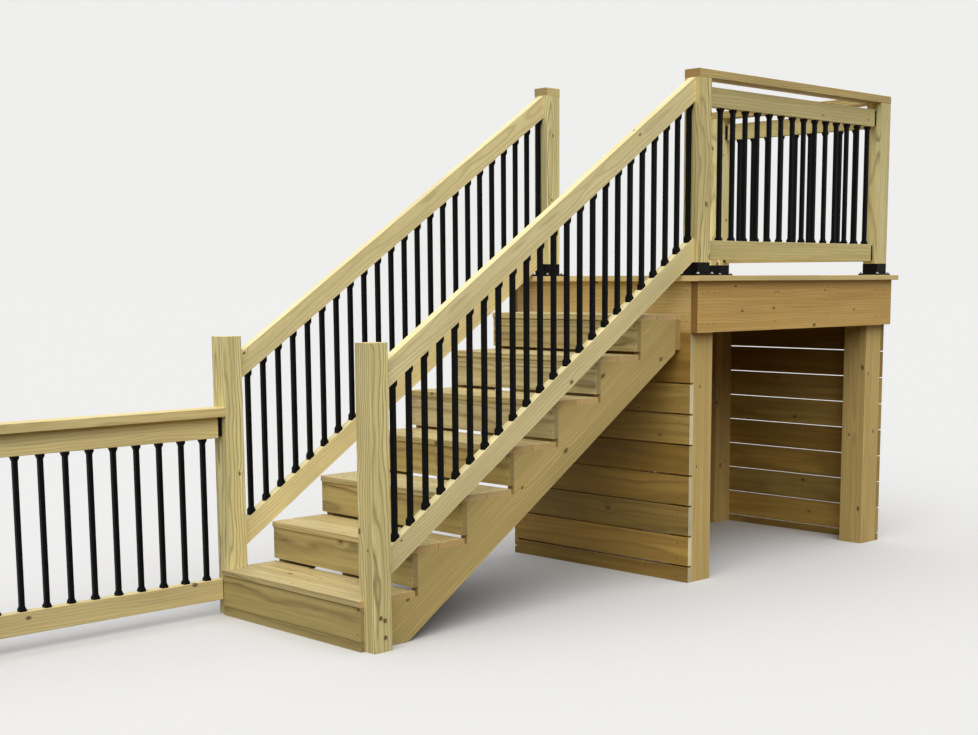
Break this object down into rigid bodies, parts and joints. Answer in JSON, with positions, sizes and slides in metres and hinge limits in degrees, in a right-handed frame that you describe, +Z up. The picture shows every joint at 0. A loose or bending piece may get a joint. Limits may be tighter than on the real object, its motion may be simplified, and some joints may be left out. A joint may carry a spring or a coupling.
{
  "type": "wooden deck stairs",
  "caption": "Straight flight of treated pine deck stairs up to a raised landing with storage space below, wooden rails and black square balusters.",
  "frame": {"origin": "middle of the footprint at the level of the lower floor", "axes": "+Z up, +Y the way the flight climbs, +X to the right of someone going up"},
  "size_m": [1.259, 5.07, 2.3591],
  "materials": {
    "tread_boards": "matte",
    "facing_boards": "matte",
    "frame_lumber": "matte",
    "post_lumber": "matte",
    "rail_lumber": "matte",
    "black_baluster": "satin",
    "black_bracket": "satin"
  },
  "bodies": {
    "root": {"back_header": "facing_boards", "back_wall": "facing_boards", "front_header": "facing_boards", "front_skirt": "facing_boards", "guard_balusters_back": "black_baluster", "guard_balusters_right": "black_baluster", "guard_cap_back": "rail_lumber", "guard_cap_right": "rail_lumber", "guard_post_corner_left": "post_lumber", "guard_post_corner_right": "post_lumber", "guard_post_stair_left": "post_lumber", "guard_post_stair_right": "post_lumber", "guard_rails_back": "rail_lumber", "guard_rails_right": "rail_lumber", "landing_boards": "tread_boards", "landing_joists": "frame_lumber", "landing_post_back_left": "frame_lumber", "landing_post_back_right": "frame_lumber", "landing_post_front_left": "frame_lumber", "landing_post_front_right": "frame_lumber", "left_wall": "facing_boards", "lower_guard_balusters": "black_baluster", "lower_guard_cap": "rail_lumber", "lower_guard_post": "post_lumber", "lower_guard_rails": "rail_lumber", "newel_left": "post_lumber", "newel_right": "post_lumber", "post_bases": "black_bracket", "post_cap_left": "rail_lumber", "rail_brackets": "black_bracket", "rim_left": "facing_boards", "rim_right": "facing_boards", "riser_1": "facing_boards", "riser_2": "facing_boards", "riser_3": "facing_boards", "riser_4": "facing_boards", "riser_5": "facing_boards", "riser_6": "facing_boards", "riser_7": "facing_boards", "stair_balusters_left": "black_baluster", "stair_balusters_right": "black_baluster", "stair_bottom_rail_left": "rail_lumber", "stair_bottom_rail_right": "rail_lumber", "stair_top_rail_left": "rail_lumber", "stair_top_rail_right": "rail_lumber", "stringer_hanger": "frame_lumber", "stringer_left": "frame_lumber", "stringer_middle": "frame_lumber", "stringer_right": "frame_lumber", "tread_1": "tread_boards", "tread_2": "tread_boards", "tread_3": "tread_boards", "tread_4": "tread_boards", "tread_5": "tread_boards", "tread_6": "tread_boards", "tread_7": "tread_boards"}
  },
  "joints": []
}
